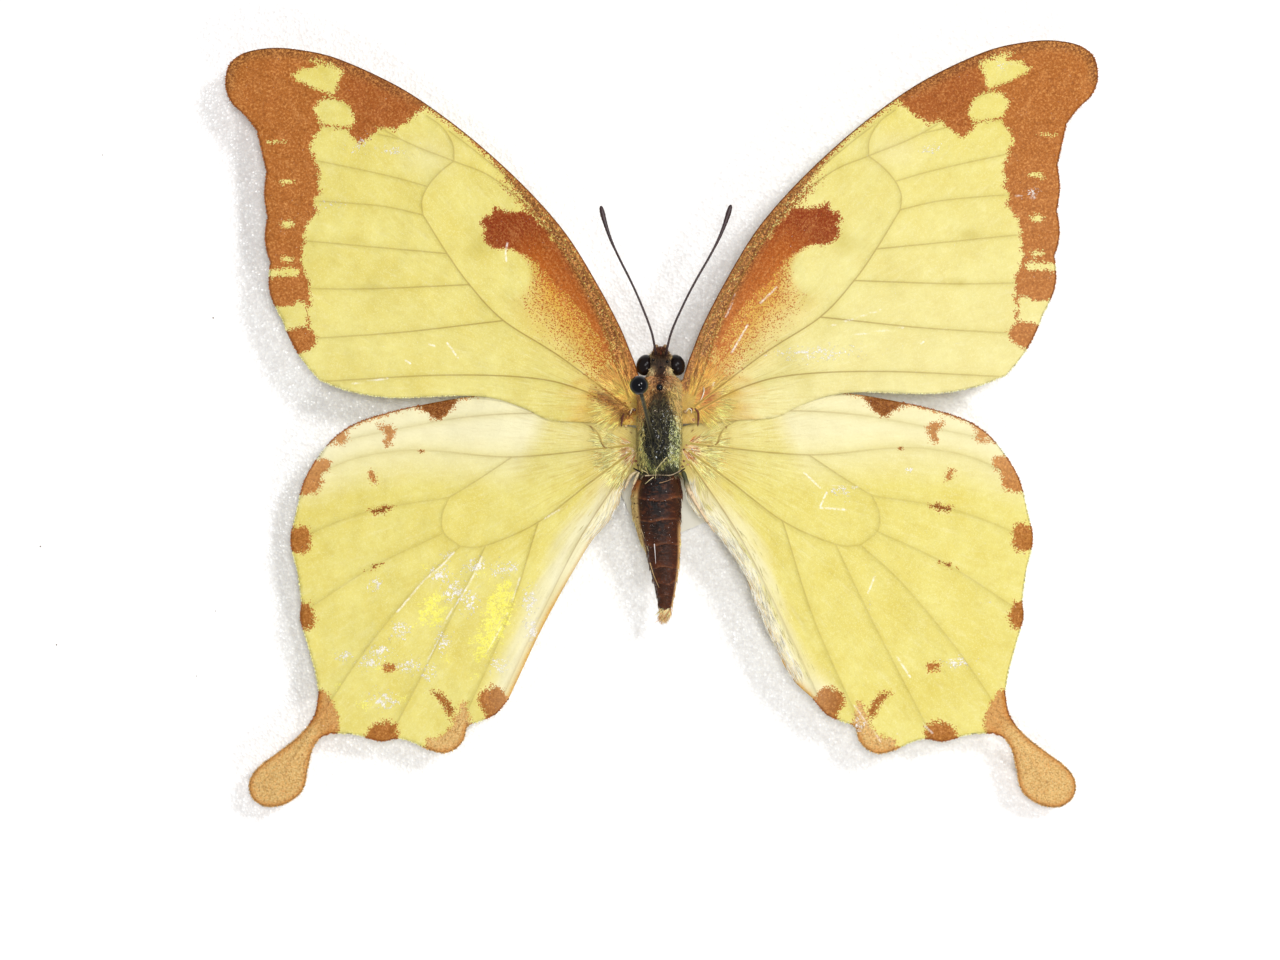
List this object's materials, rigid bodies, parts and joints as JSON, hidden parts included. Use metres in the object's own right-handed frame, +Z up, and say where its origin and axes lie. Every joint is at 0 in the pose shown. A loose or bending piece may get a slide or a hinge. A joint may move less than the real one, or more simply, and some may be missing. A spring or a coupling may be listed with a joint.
{
  "type": "pinned swallowtail butterfly specimen",
  "caption": "Spread yellow swallowtail butterfly with brown wing tips and short tails, pinned through the thorax and a blank card label into a flat slab of white foam.",
  "frame": {"origin": "centre of the foam slab's underside", "axes": "+X towards the animal's right wings, +Y towards its head, +Z up out of its back"},
  "size_m": [0.14, 0.108, 0.0362],
  "materials": {
    "wing": "matt scales, yellow with brown markings",
    "body_hair": "short hair",
    "abdomen_shell": "dark brown shell with a dull shine",
    "eye": "glossy",
    "horn": "satin dark brown",
    "pin_steel": "dark enamelled steel",
    "pin_bead": "glossy blue-black",
    "card": "matt white card",
    "foam": "fine-celled white foam"
  },
  "bodies": {
    "root": {"head": "body_hair", "eye_left": "eye", "eye_right": "eye", "antenna_left": "horn", "antenna_right": "horn", "palp_left": "body_hair", "palp_right": "body_hair", "proboscis": "horn", "thorax": "body_hair", "abdomen": "abdomen_shell", "forewing_left": "wing", "forewing_right": "wing", "hindwing_left": "wing", "hindwing_right": "wing", "leg_front_left": "horn", "leg_front_right": "horn", "leg_mid_left": "horn", "leg_mid_right": "horn", "leg_hind_left": "horn", "leg_hind_right": "horn", "pin_shaft": "pin_steel", "pin_head": "pin_bead", "label": "card", "stand_base": "foam"}
  },
  "joints": []
}
